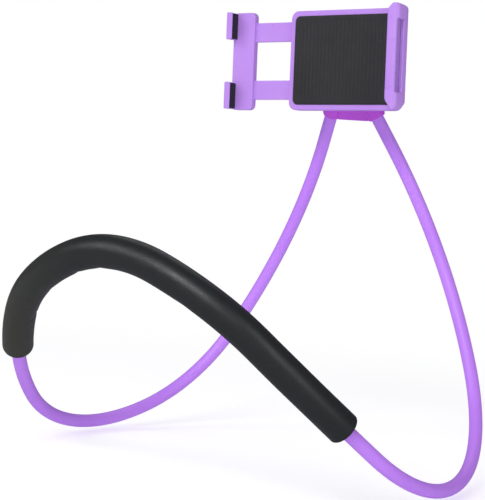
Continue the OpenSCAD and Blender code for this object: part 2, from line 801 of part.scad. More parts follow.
neck_pad();
neck_sleeve();
neck_core();
dip_sleeve();  // dip_sleeve_right
left() dip_sleeve();  // dip_sleeve_left
dip_core();  // dip_core_right
left() dip_core();  // dip_core_left
arm_sleeve();  // arm_sleeve_right
left() arm_sleeve();  // arm_sleeve_left
arm_core();  // arm_core_right
left() arm_core();  // arm_core_left
bend_sleeve();  // bend_sleeve_right
left() bend_sleeve();  // bend_sleeve_left
bend_core();  // bend_core_right
left() bend_core();  // bend_core_left
top_sleeve();  // top_sleeve_right
left() top_sleeve();  // top_sleeve_left
top_core();  // top_core_right
left() top_core();  // top_core_left
ferrule();  // ferrule_right
left() ferrule();  // ferrule_left
yoke_front();
yoke_rear();
yoke_screws();
ball_stud();
stud_screw();
ball_seat();
lock_nut();
body_front();
body_rear();
body_screws();
phone_bed();
fixed_jaw();
jaw_screws();
fixed_jaw_pads();
sliding_jaw();
finger_pads();
return_spring(1);  // spring_top
return_spring(-1);  // spring_bottom
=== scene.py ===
# Neck phone holder: a bendable rod in a soft sleeve, a foam pad, a yoke with a ball joint and a sprung clamp
import math
import bmesh
import bpy
import numpy as np
from mathutils import Matrix, Vector


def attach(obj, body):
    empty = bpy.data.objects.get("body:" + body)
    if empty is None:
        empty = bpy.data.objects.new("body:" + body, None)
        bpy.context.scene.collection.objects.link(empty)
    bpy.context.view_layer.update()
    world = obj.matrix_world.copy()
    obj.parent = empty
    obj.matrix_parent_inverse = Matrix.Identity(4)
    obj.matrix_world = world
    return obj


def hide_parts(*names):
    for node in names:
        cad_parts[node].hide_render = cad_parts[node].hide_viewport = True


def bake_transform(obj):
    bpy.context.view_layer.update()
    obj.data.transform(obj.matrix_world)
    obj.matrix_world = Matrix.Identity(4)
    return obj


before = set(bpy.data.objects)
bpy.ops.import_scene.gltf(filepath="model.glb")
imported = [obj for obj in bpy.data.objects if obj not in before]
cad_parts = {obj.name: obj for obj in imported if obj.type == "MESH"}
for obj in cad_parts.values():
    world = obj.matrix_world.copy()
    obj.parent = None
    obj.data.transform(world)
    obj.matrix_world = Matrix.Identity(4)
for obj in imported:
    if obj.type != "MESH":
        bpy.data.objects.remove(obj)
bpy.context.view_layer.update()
scene = bpy.context.scene
mm = 0.001


def toLinear(hexColour):
    # sRGB hex to linear RGBA
    srgb = np.array([int(hexColour[i:i + 2], 16) for i in (1, 3, 5)]) / 255
    linear = np.where(srgb <= 0.04045, srgb / 12.92, ((srgb + 0.055) / 1.055) ** 2.4)
    return (*linear.tolist(), 1.0)


def addNode(tree, kind, settings=None, links=None):
    # one node: its settings go to its own values or to its inputs, its links join outputs to its inputs
    node = tree.nodes.new(kind)
    for key, value in (settings or {}).items():
        if isinstance(key, str) and hasattr(node, key):
            setattr(node, key, value)
        else:
            node.inputs[key].default_value = value
    for key, source in (links or {}).items():
        tree.links.new(source, node.inputs[key])
    return node


def emptyMaterial(name):
    # a material with only its output node
    material = bpy.data.materials.new(name)
    material.use_nodes = True
    material.node_tree.nodes.clear()
    return material, material.node_tree


print("camera, floor and light")
shot = {
    "place": (0.645351, -0.813822, 0.065934),
    "right": (0.82445, 0.56069, 0.07688), "up": (-0.09525, 0.00356, 0.99545),
    "lens": 120.569,                    # a long lens, as for a product picture
    "clip": (0.05, 40.0),               # metres
}
cameraRight = Vector(shot["right"]).normalized()
cameraBack = cameraRight.cross(Vector(shot["up"])).normalized()
cameraUp = cameraBack.cross(cameraRight)
camera = bpy.data.objects.new("camera", bpy.data.cameras.new("camera"))
camera.data.lens = shot["lens"]
camera.data.clip_start, camera.data.clip_end = shot["clip"]
turn = Matrix((cameraRight, cameraUp, cameraBack)).transposed().to_4x4()
camera.matrix_world = Matrix.Translation(shot["place"]) @ turn
scene.collection.objects.link(camera)
scene.camera = camera
scene.view_settings.view_transform = "Standard"

room = {
    "floorZ": -0.1535, "half": 12.0,
    "floor": "#DCDCE0", "glow": 0.42,   # the floor shows white near the holder, and its shadow stays
    "floorMirrored": "#909094",         # the floor's colour in reflections
    "fade": (0.45, 1.1),                # metres from the middle over which it turns into a white backdrop
    "ambient": 0.42, "mirrored": 0.09,  # the studio's light, and how bright it shows in reflections
    # place, aim, width, height, watts
    "lamps": [
        ((0.45, -1.8, 1.2), (0, 0.15, 0.0), 1.2, 0.9, 28),
        ((-1.25, -1.5, 1.15), (0, 0.15, 0.0), 1.1, 0.9, 13),
        ((1.6, -0.3, 0.35), (0, 0.15, 0.0), 0.5, 1.3, 6),
        ((-0.5, 1.1, 1.3), (0, 0.15, 0.05), 1.2, 0.6, 2.5),
    ],
}
h, z = room["half"], room["floorZ"]
floorMesh = bpy.data.meshes.new("floor")
floorMesh.from_pydata([(-h, -h, z), (h, -h, z), (h, h, z), (-h, h, z)], [], [(0, 1, 2, 3)])
floor = bpy.data.objects.new("floor", floorMesh)
scene.collection.objects.link(floor)
paper, tree = emptyMaterial("whitePaper")
ray = addNode(tree, "ShaderNodeLightPath")
seen = addNode(tree, "ShaderNodeMath", {"operation": "SUBTRACT", 0: 1.0}, {1: ray.outputs["Is Glossy Ray"]})
diffuse = addNode(tree, "ShaderNodeBsdfDiffuse", {"Color": toLinear(room["floor"])})
dim = addNode(tree, "ShaderNodeBsdfDiffuse", {"Color": toLinear(room["floorMirrored"])})
glow = addNode(tree, "ShaderNodeEmission", {"Strength": room["glow"]})
both = addNode(tree, "ShaderNodeAddShader", {}, {0: diffuse.outputs[0], 1: glow.outputs[0]})
at = addNode(tree, "ShaderNodeTexCoord").outputs["Object"]
away = addNode(tree, "ShaderNodeVectorMath", {"operation": "LENGTH"}, {0: at}).outputs["Value"]
far = addNode(tree, "ShaderNodeMapRange", {"interpolation_type": "SMOOTHSTEP", "From Min": room["fade"][0],
                                           "From Max": room["fade"][1]}, {"Value": away})
backdrop = addNode(tree, "ShaderNodeEmission", {"Strength": 1.0})
near = addNode(tree, "ShaderNodeMixShader", {},
               {0: far.outputs[0], 1: both.outputs[0], 2: backdrop.outputs[0]})
mix = addNode(tree, "ShaderNodeMixShader", {}, {0: seen.outputs[0], 1: dim.outputs[0], 2: near.outputs[0]})
addNode(tree, "ShaderNodeOutputMaterial", {}, {"Surface": mix.outputs[0]})
floorMesh.materials.append(paper)

world = bpy.data.worlds.new("studio")
scene.world = world
world.use_nodes = True
tree = world.node_tree
tree.nodes.clear()
ray = addNode(tree, "ShaderNodeLightPath")
seen = addNode(tree, "ShaderNodeMath", {"operation": "MAXIMUM"},
               {0: ray.outputs["Is Camera Ray"], 1: ray.outputs["Is Transmission Ray"]})
white = addNode(tree, "ShaderNodeBackground", {"Strength": 1.0})
level = addNode(tree, "ShaderNodeMapRange", {"To Min": room["ambient"], "To Max": room["mirrored"]},
                {"Value": ray.outputs["Is Glossy Ray"]})
soft = addNode(tree, "ShaderNodeBackground", {"Color": (1, 1, 1, 1)}, {"Strength": level.outputs[0]})
white.inputs["Color"].default_value = (1, 1, 1, 1)
mix = addNode(tree, "ShaderNodeMixShader", {}, {0: seen.outputs[0], 1: soft.outputs[0], 2: white.outputs[0]})
addNode(tree, "ShaderNodeOutputWorld", {}, {"Surface": mix.outputs[0]})

for i, (place, aim, width, height, watts) in enumerate(room["lamps"]):
    lamp = bpy.data.objects.new(f"softbox{i}", bpy.data.lights.new(f"softbox{i}", "AREA"))
    lamp.data.shape = "RECTANGLE"
    lamp.data.size, lamp.data.size_y, lamp.data.energy = width, height, watts
    look = (Vector(aim) - Vector(place)).to_track_quat("-Z", "Y").to_matrix().to_4x4()
    lamp.matrix_world = Matrix.Translation(place) @ look
    scene.collection.objects.link(lamp)


perMetre = 1000             # millimetres in a metre: a pattern's scale is this over its size
noiseSpan = (0.3, 0.7)      # where most of a noise pattern's values lie


def finish(name, look):
    # a surface from its look: two colours in slow clouds, roughness in clouds, and grain as bump
    material, tree = emptyMaterial(name)
    at = addNode(tree, "ShaderNodeTexCoord").outputs["Object"]
    clouds = addNode(tree, "ShaderNodeTexNoise",
                     {"Scale": perMetre / look["cloudMm"], "Detail": 3.0, "Roughness": 0.5}, {"Vector": at})
    share = clouds.outputs["Fac"]
    if "paintedLightDrift" in look:         # painted light: the second, lighter colour also grows along the piece, between two places on x, to brighten one end
        start, end, most = look["paintedLightDrift"]
        x = addNode(tree, "ShaderNodeSeparateXYZ", {}, {0: at}).outputs["X"]
        paintedLightShare = addNode(tree, "ShaderNodeMapRange", {"From Min": start, "From Max": end, "To Max": most},
                        {"Value": x}).outputs[0]
        share = addNode(tree, "ShaderNodeMath", {"operation": "MULTIPLY_ADD", 1: 1 - most},
                        {0: share, 2: paintedLightShare}).outputs[0]
    colour = addNode(tree, "ShaderNodeMix", {"data_type": "RGBA"}, {0: share})
    colour.inputs[6].default_value = toLinear(look["colours"][0])
    colour.inputs[7].default_value = toLinear(look["colours"][1])
    wear = addNode(tree, "ShaderNodeTexNoise",
                   {"Scale": perMetre / look["wearMm"], "Detail": 4.0, "Roughness": 0.6}, {"Vector": at})
    rough = addNode(tree, "ShaderNodeMapRange", {"From Min": noiseSpan[0], "From Max": noiseSpan[1],
                                                 "To Min": look["rough"][0], "To Max": look["rough"][1]},
                    {"Value": wear.outputs["Fac"]})
    shader = addNode(tree, "ShaderNodeBsdfPrincipled", look.get("shader"),
                     {"Base Color": colour.outputs[2], "Roughness": rough.outputs[0]})
    before = None
    for kind, grainMm, depthMm in look["grain"]:
        if kind == "cells":
            grain = addNode(tree, "ShaderNodeTexVoronoi", {"Scale": perMetre / grainMm},
                            {"Vector": at}).outputs["Distance"]
        else:
            grain = addNode(tree, "ShaderNodeTexNoise", {"Scale": perMetre / grainMm, "Detail": 2.0},
                            {"Vector": at}).outputs["Fac"]
        bump = addNode(tree, "ShaderNodeBump", {"Strength": 1.0, "Distance": depthMm * mm}, {"Height": grain})
        if before:
            tree.links.new(before, bump.inputs["Normal"])
        before = bump.outputs["Normal"]
    if before:
        tree.links.new(before, shader.inputs["Normal"])
    addNode(tree, "ShaderNodeOutputMaterial", {}, {"Surface": shader.outputs[0]})
    return material


print("materials")
# Extruded thermoplastic elastomer: a satin skin that looks a little milky, with no grain to speak of
satinElastomer = finish("satinElastomerLilac", {
    "colours": ("#AD6EE2", "#BC84EC"), "cloudMm": 60, "wearMm": 12, "rough": (0.34, 0.46),
    "grain": [("noise", 1.1, 0.005)],
    "shader": {"IOR": 1.5, "Specular IOR Level": 0.4, "Subsurface Weight": 0.12,
               "Subsurface Radius": (0.0016, 0.0009, 0.0018), "Subsurface Scale": 1.0}})
# Injection-moulded ABS from a polished tool: semi-gloss, with a faint orange peel
mouldedAbs = finish("mouldedAbsLilac", {
    "colours": ("#A877D6", "#B389DA"), "cloudMm": 45, "wearMm": 9, "rough": (0.26, 0.38),
    "grain": [("noise", 1.8, 0.007), ("noise", 0.5, 0.002)],
    "shader": {"IOR": 1.53, "Specular IOR Level": 0.45}})
# The same ABS in a darker, deeper purple for the yoke: painted shade, as the yoke sits in shade below the
# clamp
shadedAbs = finish("mouldedAbsShadedPurple", {
    "colours": ("#B03CCA", "#BE52DC"), "cloudMm": 40, "wearMm": 9, "rough": (0.28, 0.4),
    "grain": [("noise", 1.8, 0.007), ("noise", 0.5, 0.002)],
    "shader": {"IOR": 1.53, "Specular IOR Level": 0.45}})
# Nitrile foam tube with a closed skin: matte black, from olive to bluish, with a dull gloss; the lighter
# olive that grows towards the pad's left end is painted light. Its pores are finer than the 0.9 mm cells
# drawn here, which are as coarse as they need to be to show
skinnedFoam = finish("skinnedFoamBlack", {
    "colours": ("#10151C", "#35362F"), "paintedLightDrift": (-0.02, -0.115, 0.6), "cloudMm": 140, "wearMm": 7,
    "rough": (0.36, 0.46),
    "grain": [("cells", 0.9, 0.035), ("noise", 5, 0.1)],
    "shader": {"IOR": 1.5, "Specular IOR Level": 0.45}})
# Soft over-moulded rubber: flat and dark, lightly dusted
softRubber = finish("softRubberDark", {
    "colours": ("#222225", "#2C2C30"), "cloudMm": 25, "wearMm": 5, "rough": (0.62, 0.78),
    "grain": [("noise", 0.7, 0.02)],
    "shader": {"IOR": 1.5, "Specular IOR Level": 0.3}})
# Zinc-plated and passivated steel: a pale grey film over the metal, with a fine crystal haze; the film's pale
# grey, lit as a plain colour, is partly painted reflection of the white studio
zincSteel = finish("zincPlatedSteel", {
    "colours": ("#C2C6CC", "#D6D8DC"), "cloudMm": 4, "wearMm": 1.2, "rough": (0.26, 0.42),
    "grain": [("noise", 0.4, 0.006)],
    "shader": {"Metallic": 0.75}})
# Drawn aluminium wire: dull silver
drawnAluminium = finish("drawnAluminium", {
    "colours": ("#B8BABD", "#CFD1D3"), "cloudMm": 8, "wearMm": 2, "rough": (0.34, 0.5),
    "grain": [("noise", 0.6, 0.008)],
    "shader": {"Metallic": 1.0}})
# Spring steel wire, lightly oiled
springSteel = finish("springSteelOiled", {
    "colours": ("#8E9196", "#A6A9AE"), "cloudMm": 3, "wearMm": 1, "rough": (0.22, 0.34),
    "grain": [("noise", 0.3, 0.003)],
    "shader": {"Metallic": 1.0}})


def settle(piece, material, sharpAngle=35):
    # links a finished mesh, shades it and gives it its finish
    scene.collection.objects.link(piece)
    piece.data.materials.clear()
    piece.data.materials.append(material)
    piece.data.shade_smooth()
    piece.data.set_sharp_from_angle(angle=math.radians(sharpAngle))
    return piece


def gridPiece(name, grid, closed=False):
    # a mesh over a grid of points, rows by places round each row. The rows are rings; the last joins the
    # first, or else a pole in the middle of each end ring closes it
    rows, around = grid.shape[:2]
    index = np.arange(rows * around).reshape(rows, around)
    if closed:
        index = np.vstack([index, index[:1]])
    a, b = index[:-1], index[1:]
    quads = np.stack([a, np.roll(a, -1, 1), np.roll(b, -1, 1), b], axis=-1).reshape(-1, 4)
    points = grid.reshape(-1, 3)
    faces = quads.tolist()
    if not closed:
        first, last = index[0], index[-1]
        points = np.vstack([points, grid[0].mean(0), grid[-1].mean(0)])
        count = rows * around
        faces += np.stack([np.full(around, count), np.roll(first, -1), first], axis=-1).tolist()
        faces += np.stack([np.full(around, count + 1), last, np.roll(last, -1)], axis=-1).tolist()
    mesh = bpy.data.meshes.new(name)
    mesh.from_pydata((points * mm).tolist(), [], faces)
    mesh.validate()
    return bpy.data.objects.new(name, mesh)


print("rod")
rod = {
    # radius in mm, angle and roll in degrees of each bend, from the nape to the yoke
    "bends": [(89, 22.5, 0), (133, 35, 27), (275, 22.5, 28.5), (127, 65, 29), (113, 49, 7.5),
              (278, 36.5, -7.5)],
    "napeRoll": -70.5, "endLength": 24, "socketDepth": 16, "ferrule": 8,
    "sleeveR": 4.8, "coreR": 2.5, "splitAt": 430.0, "step": 3.0, "around": 48,
}
lengths = [r * math.radians(angle) for r, angle, roll in rod["bends"]]
mouthAt = sum(lengths) + rod["endLength"]


def rodFrames(distances):
    # place, direction and two sides of the rod at distances from the nape, in mm. On a bend the place is the
    # bend's start plus radius times the turn's sine forwards and one less its cosine sideways. The sides are
    # turned back by the rolls so far, so that they don't twist. The left half is the right half mirrored.
    s = np.abs(distances)
    place, along, side, other = (np.zeros((len(s), 3)) for _ in range(4))
    p, t = np.zeros(3), np.array([1.0, 0, 0])
    n = np.array([0, math.cos(math.radians(rod["napeRoll"])), math.sin(math.radians(rod["napeRoll"]))])
    start, rolled = 0.0, 0.0
    for radius, angle, roll in [*rod["bends"], (1e9, 0, 0)]:    # after the last bend, straight on
        roll = math.radians(roll)
        rolled += roll
        n = n * math.cos(roll) + np.cross(t, n) * math.sin(roll)
        b = np.cross(t, n)
        on = s >= start - 1e-9
        gone = (s[on] - start)[:, None]
        a = gone / radius
        place[on] = p + radius * np.sin(a) * t + radius * (1 - np.cos(a)) * n if angle else p + gone * t
        along[on] = np.cos(a) * t + np.sin(a) * n
        nn = np.cos(a) * n - np.sin(a) * t
        side[on] = math.cos(rolled) * nn - math.sin(rolled) * b
        other[on] = math.sin(rolled) * nn + math.cos(rolled) * b
        a = math.radians(angle)
        p = p + radius * (math.sin(a) * t + (1 - math.cos(a)) * n) if angle else p
        t, n = math.cos(a) * t + math.sin(a) * n, math.cos(a) * n - math.sin(a) * t
        start += radius * a
    left = distances < 0
    for v in (place, side, other):
        v[left, 0] *= -1
    along[left, 1:] *= -1
    return place, along, side, other


def tube(distances, radii, around=None):
    # a circle of the given radius carried along the rod: place plus radius times the sides' cosine and sine
    place, along, side, other = rodFrames(distances)
    angle = np.linspace(0, 2 * np.pi, around or rod["around"], endpoint=False)[None, :, None]
    radii = np.reshape(radii, (len(distances), -1))     # one radius for each ring, or for each point of it
    r = np.broadcast_to(radii, (len(distances), angle.shape[1]))[..., None]
    return place[:, None] + r * (np.cos(angle) * side[:, None] + np.sin(angle) * other[:, None])


def stations(low, high):
    # even steps along the rod, as near to its own step as they fit
    return np.linspace(low, high, max(2, int(abs(high - low) / rod["step"]) + 1))


# the rod's stretches, in mm: long enough for the rod to curve, clear of the pad and of the sockets
split, sleeveEnd = rod["splitAt"], mouthAt + rod["socketDepth"]
coreEnd = sleeveEnd + rod["ferrule"]
for kind, radius, end, material, slotName in [
        ("sleeve", rod["sleeveR"], sleeveEnd, satinElastomer, "sleeve"),
        ("core", rod["coreR"], coreEnd, drawnAluminium, "core_wire")]:
    s = stations(-split, split)
    loop = settle(gridPiece(f"loop_{kind}", tube(s, np.full(len(s), radius))), material)
    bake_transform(loop)
    sides = ("right", "left")
    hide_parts(f"neck_{kind}", *[f"{part}_{kind}_{side}" for part in ("dip", "arm") for side in sides])
    for side, low, high in [("right", split, end), ("left", -end, -split)]:
        s = stations(low, high)
        head = settle(gridPiece(f"head_{kind}_{side}", tube(s, np.full(len(s), radius))), material)
        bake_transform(head)
        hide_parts(f"bend_{kind}_{side}", f"top_{kind}_{side}")

print("foam pad")
pad = {"left": -160.0, "right": 192.4, "radius": 10.9, "bore": 4.9, "edges": (3.8, 1.1), "around": 96,
       "step": 1.5, "edgeSteps": 8, "faceSteps": 4, "boreSteps": 58, "swell": 0.16,
       # waves of the swellings: radians in each mm along the pad, and how many go round it. They are in step
       # at waveShift before the pad's middle
       "waves": [(0.021, 1), (0.037, 2), (0.061, -1), (0.083, 3), (0.127, -2)], "waveShift": 900,
       # folds inside the bends: place along the pad, place round it in degrees, depth, length, spread
       "folds": [(-112, 40, 0.75, 3.2, 42), (-34, 5, 0.6, 3.5, 42), (-9, 350, 0.5, 4.0, 45),
                 (-72, 20, 0.25, 5, 40), (62, 330, 0.2, 5, 40)]}
q = np.linspace(0, np.pi / 2, pad["edgeSteps"])
run = np.arange(pad["left"] + pad["edges"][0], pad["right"] - pad["edges"][1] + 1e-6, pad["step"])
# each end: a quarter circle from the side to the flat face, then the face down to the bore
(leftR, leftS), (rightR, rightS) = ((pad["radius"] - e + e * np.cos(q), e * (np.sin(q) - 1))
                                    for e in pad["edges"])
leftFace, rightFace = (np.linspace(r[-1], pad["bore"], pad["faceSteps"] + 1)[1:] for r in (leftR, rightR))
back = np.linspace(pad["right"], pad["left"], pad["boreSteps"] + 2)[1:-1]
s = np.concatenate([pad["left"] - leftS[::-1], run[1:-1], pad["right"] + rightS,
                    np.full(pad["faceSteps"], pad["right"]), back, np.full(pad["faceSteps"], pad["left"])])
r = np.concatenate([leftR[::-1], np.full(len(run) - 2, pad["radius"]), rightR, rightFace,
                    np.full(len(back), pad["bore"]), leftFace[::-1]])
angle = np.linspace(0, 2 * np.pi, pad["around"], endpoint=False)
# slow swellings: sums of sines of the place along the pad and round it. A fold is a bell curve both ways
wave = sum(np.sin(s[:, None] * f + angle * k + f * pad["waveShift"]) for f, k in pad["waves"])
wave = wave / len(pad["waves"])
dent = pad["swell"] * (wave - 1)
for place, around, depth, length, spread in pad["folds"]:
    off = (np.degrees(angle) - around + 180) % 360 - 180
    dent = dent - depth * np.exp(-((s[:, None] - place) / length) ** 2 - (off / spread) ** 2)
share = np.clip((r - pad["bore"]) / (pad["radius"] - pad["bore"]), 0, 1)[:, None] ** 2
grid = tube(s, r[:, None] + share * dent, pad["around"])
neckFoam = settle(gridPiece("neck_foam", grid, closed=True), skinnedFoam, sharpAngle=60)
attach(neckFoam, "neck")
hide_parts("neck_pad")

print("moulded parts")
clamp = {   # millimetres, in the clamp's own frame: x to the fixed jaw, y backwards, z up, about the ball
    "ball": (0, 246.147, 139.708), "roll": 2.6,
    "frontY": -13.3, "railY": -11.0, "railBackY": -8.2, "rearY": -4.3,
    "bodyLeft": -30.6, "bodyRight": 61.6, "bodyHalf": 36.5, "corner": 6.0,
}
yoke = {   # millimetres, in the yoke's own frame: y backwards, z up the plate from the sockets
    "place": (0, 280.631, 101.44), "lean": 22.1627, "splay": 24.2698, "socketHalf": 20.1401,
    "wallR": 6.4, "sleeveR": 4.85, "ferruleR": 4.05, "socketDepth": 16.0, "barrel": 24.05,
    "half": 4.0, "barZ": -2.2306, "side": (25.281, 3.1955), "mouthUp": 0.8, "shoulder": (10.4107, 51.6453),
    "boss": 48.45, "bossR": 11.0, "screws": (8.4, 32.95),
    "panel": (13.4, 4.4, 2.6),          # half its width at the sockets, its top, and where its floor lies
    "tipRun": 2.0,                      # how far a barrel's tip runs out for each millimetre that it narrows
    # holes: radius, and how far from the seam they begin or end
    "flange": (6.55, 2.4), "stemR": 3.05, "pilot": (1.15, 3.0),
    "studHead": (3.1, 2.0), "studR": 1.55, "screwHead": (2.3, 2.6), "screwR": 1.15,
    "round": {"mouth": 0.6, "plate": 0.9, "tip": 2.0, "crown": 1.0, "panelTop": 0.8, "panelFloor": 0.3,
              "panelRim": 0.4, "barrel": 0.5, "bore": 0.25, "seam": 0.12, "flange": 0.1, "stem": 0.3,
              "head": 0.2},
}


def fromClamp(p):
    # the clamp's frame turned about the ball's own y, then carried to the ball
    c, s = math.cos(math.radians(clamp["roll"])), math.sin(math.radians(clamp["roll"]))
    return p @ np.array([[c, 0, s], [0, 1, 0], [-s, 0, c]]) + clamp["ball"]


def toClamp(p):
    # the other way: taken from the ball, then turned back
    c, s = math.cos(math.radians(clamp["roll"])), math.sin(math.radians(clamp["roll"]))
    return (p - clamp["ball"]) @ np.array([[c, 0, -s], [0, 1, 0], [s, 0, c]])


def fromYoke(p):
    # the yoke's frame leaned about x, then carried to the middle between the sockets
    c, s = math.cos(math.radians(yoke["lean"])), math.sin(math.radians(yoke["lean"]))
    return p @ np.array([[1, 0, 0], [0, c, s], [0, -s, c]]) + yoke["place"]


def meet(a, b, r=0.0):
    # inside both a and b, which are distances to surfaces, less than zero inside. The edge between them is an
    # arc of radius r: the root of the squares of how far each is past -r
    if not r:
        return np.maximum(a, b)
    return np.minimum(np.maximum(a, b), -r) + np.sqrt(np.maximum(a + r, 0) ** 2 + np.maximum(b + r, 0) ** 2)


def join(a, b, r=0.0):
    # inside a or b, with a fillet of radius r
    return -meet(-a, -b, r)


def between(v, low, high):
    # inside the slab from low to high
    return np.maximum(low - v, v - high)


def block(x, y, z, low, high, r):
    # a box with rounded edges: the length of what is outside a smaller box, less the radius
    q = [np.abs(v - (a + b) / 2) - (b - a) / 2 + r for v, a, b in zip((x, y, z), low, high)]
    outside = np.sqrt(sum(np.maximum(v, 0) ** 2 for v in q))
    return outside + np.minimum(np.maximum(np.maximum(q[0], q[1]), q[2]), 0) - r


# cells left round the box; the length in mm over which a slope is measured; how many times the points are
# moved onto the skin, with the flattest slope taken there and the furthest move in cells
skin = {"margin": 1.6, "small": 0.01, "turns": 3, "flattest": 0.25, "furthest": 0.5}


def solid(name, field, low, high, step, place):
    # a skin over the points where a distance field is zero. Each cell of a grid that the skin passes gets one
    # point, the mean of where its edges are crossed; each crossed edge joins the four cells round it. The
    # points are then moved along the field's slope until the field is zero
    before, after = skin["margin"] * step, (skin["margin"] + 1) * step
    axes = [np.arange(a - before, b + after, step) for a, b in zip(low, high)]
    value = field(*np.meshgrid(*axes, indexing="ij", sparse=True))
    cells = tuple(n - 1 for n in value.shape)
    total, count = np.zeros((3, *cells)), np.zeros(cells)
    crossings = []
    for axis in range(3):
        lower, upper = (np.take(value, range(k, value.shape[axis] - 1 + k), axis) for k in (0, 1))
        crossed = (lower < 0) != (upper < 0)
        share = np.where(crossed, lower / np.where(crossed, lower - upper, 1), 0)
        spots = [np.arange(n, dtype=float).reshape([-1 if k == i else 1 for k in range(3)])
                 for i, n in enumerate(crossed.shape)]
        one, two = (axis + 1) % 3, (axis + 2) % 3
        for a in (0, 1):
            for b in (0, 1):
                cut = [slice(None)] * 3
                cut[one], cut[two] = slice(a, a + cells[one]), slice(b, b + cells[two])
                cut = tuple(cut)
                hit = crossed[cut]
                count += hit
                for i in range(3):
                    at = spots[i] + (share if i == axis else 0)
                    total[i] += hit * np.broadcast_to(at, crossed.shape)[cut]
        crossings.append((one, two, np.argwhere(crossed), (lower < 0)[crossed]))
    active = count > 0
    number = np.full(cells, -1)
    number[active] = np.arange(active.sum())
    p = np.stack([axes[i][0] + step * total[i][active] / count[active] for i in range(3)], axis=-1)
    quads = []
    for one, two, where, rising in crossings:
        corners = []
        for a, b in ((1, 1), (0, 1), (0, 0), (1, 0)):
            cell = where.copy()
            cell[:, one] -= a
            cell[:, two] -= b
            corners.append(number[tuple(cell.T)])
        four = np.stack(corners, axis=-1)
        quads.append(np.where(rising[:, None], four, four[:, ::-1]))
    small, furthest = skin["small"], skin["furthest"] * step
    for turn in range(skin["turns"]):
        here = field(*p.T)
        slope = np.stack([field(*(p + small * e).T) - field(*(p - small * e).T) for e in np.eye(3)], axis=-1)
        slope = slope / (2 * small)
        move = here[:, None] * slope / np.maximum((slope ** 2).sum(1), skin["flattest"])[:, None]
        p = p - np.clip(move, -furthest, furthest)
    mesh = bpy.data.meshes.new(name)
    mesh.from_pydata((place(p) * mm).tolist(), [], np.concatenate(quads).tolist())
    return bpy.data.objects.new(name, mesh)


jaw = {   # in the clamp's frame: its side, its lip in front, its ends, its window
    "x": 67.2, "inX": 65.7, "lipX": 57.8, "lipY": -27.8, "lipInY": -25.3, "low": -37.4, "high": 38.4,
    "frontR": 4.0, "lipR": 2.0, "backX": 62.2, "window": (-24.5, 27.5), "windowY": -18.0, "sink": 0.5,
    # bevels of the ends: what they run out to, how far along it, how far along z, which end, rounding
    "bevels": (("lip", 4.4, 4.7, 1, 0.7), ("lip", 6.3, 8.7, -1, 0.7), ("outside", 0.9, 0.9, 1, 0.8),
               ("outside", 2.6, 2.6, -1, 2.0), ("back", 8.2, 1.5, 1, 1.5), ("back", 9.2, 4.4, -1, 1.5)),
    "tongue": ((51.1, -11.2, 15.53), (62.4, -6.4, 27.53)), "screw": (55.35, 21.53, 1.15),
    "overlap": 1.0,                     # how far one cut runs into the next
    "round": {"back": 1.5, "rear": 0.3, "end": 0.7, "pocket": 0.8, "pocketRear": 0.3, "lipEdge": 0.45,
              "seam": 0.05, "windowFront": 0.6, "windowEnd": 0.8, "window": 0.5, "strip": 0.2,
              "tongue": 0.3, "tongueRoot": 0.2},
}


def jawField(x, y, z):
    # a J-shaped section along z: lip, rounded front corner, side and sloping back, cut by bevels at both
    # ends, by the pocket behind the lip and by the window
    r = jaw["round"]
    front = jaw["lipY"] - y
    field = np.maximum(meet(jaw["lipX"] - x, front, jaw["lipR"]), meet(x - jaw["x"], front, jaw["frontR"]))
    dx, dy = jaw["x"] - jaw["backX"], clamp["rearY"] - clamp["frontY"]
    slope = ((x - jaw["x"]) * dy + (y - clamp["frontY"]) * dx) / math.hypot(dx, dy)
    field = meet(meet(field, slope, r["back"]), y - clamp["rearY"], r["rear"])
    field = meet(field, between(z, jaw["low"], jaw["high"]), r["end"])
    reach = {"lip": jaw["lipX"] - x, "outside": x - jaw["x"], "back": y - clamp["frontY"]}
    for side, along, up, end, rounding in jaw["bevels"]:
        past = z - jaw["high"] if end > 0 else jaw["low"] - z
        bevel = (reach[side] * up + past * along + along * up) / math.hypot(along, up)
        field = meet(field, bevel, rounding)
    pocket = meet(x - jaw["inX"], jaw["lipInY"] - y, r["pocket"])
    field = meet(field, -meet(pocket, y - clamp["frontY"], r["pocketRear"]), r["lipEdge"])
    beside = np.maximum(x - clamp["bodyRight"], clamp["frontY"] - y - jaw["overlap"])
    field = meet(field, -beside, r["seam"])
    low, high = jaw["window"]
    window = meet(jaw["inX"] - x, y - jaw["windowY"], r["windowFront"])
    field = meet(field, -meet(window, between(z, low, high), r["windowEnd"]), r["window"])
    strip = np.maximum(jaw["x"] - jaw["sink"] - x, jaw["windowY"] - jaw["overlap"] - y)
    field = meet(field, -np.maximum(strip, between(z, low, high)), r["strip"])
    low, high = jaw["tongue"]
    tongue = block(x, y, np.abs(z), low, high, r["tongue"])
    screwX, screwZ, screwR = jaw["screw"]
    hole = np.sqrt((x - screwX) ** 2 + (np.abs(z) - screwZ) ** 2) - screwR
    return join(field, np.maximum(tongue, -hole), r["tongueRoot"])


slider = {   # in the clamp's frame: the block, the fingers in front of it and the rails that run in from it
    "x": -82.1, "inX": -78.9, "lipX": -77.2, "blockX": -63.1, "blockBack": 0.3, "half": 36.5, "corner": 4.0,
    "fingerY": -23.3, "lipInY": -22.3, "finger": (16.0, 36.0), "rail": (14.37, 28.69), "railEnd": 22.8,
    "rooted": 2.0, "tab": 3.0, "tabZ": 10.97,
    "round": {"block": 0.6, "lip": 0.45, "lipRoot": 0.3, "fingerRoot": 0.5, "rail": 0.35, "railRoot": 0.4},
}


